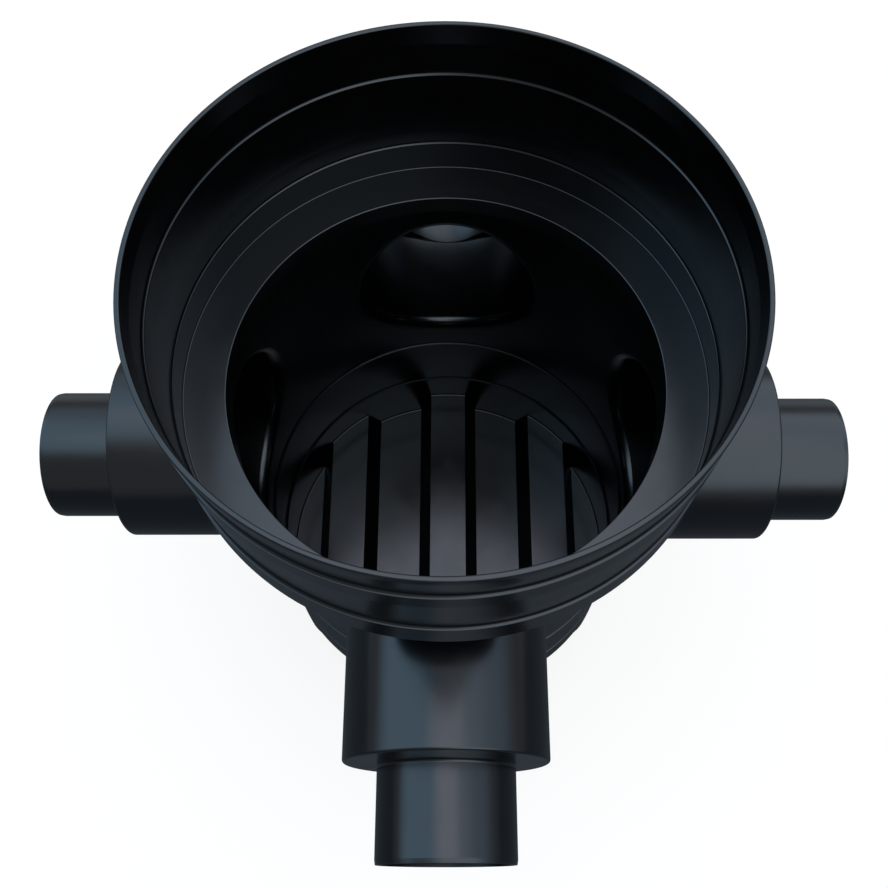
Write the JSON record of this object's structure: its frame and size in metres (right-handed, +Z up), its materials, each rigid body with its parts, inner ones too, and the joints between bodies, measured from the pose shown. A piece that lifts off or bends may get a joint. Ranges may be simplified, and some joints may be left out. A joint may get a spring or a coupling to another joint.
{
  "type": "catchpit chamber",
  "caption": "Moulded plastic catchpit chamber with an open riser socket, a silt sump with a corrugated floor and stepped pipe spigots on its sides.",
  "frame": {"origin": "under the middle of the base, on the surface that the chamber stands on", "axes": "+Z up through the open riser socket, +X along the lower outlet spigot, inlets along -X, -Y and +Y"},
  "size_m": [0.686, 0.686, 0.537],
  "materials": {
    "body": "satin"
  },
  "bodies": {
    "root": {"chamber_body": "body"}
  },
  "joints": []
}
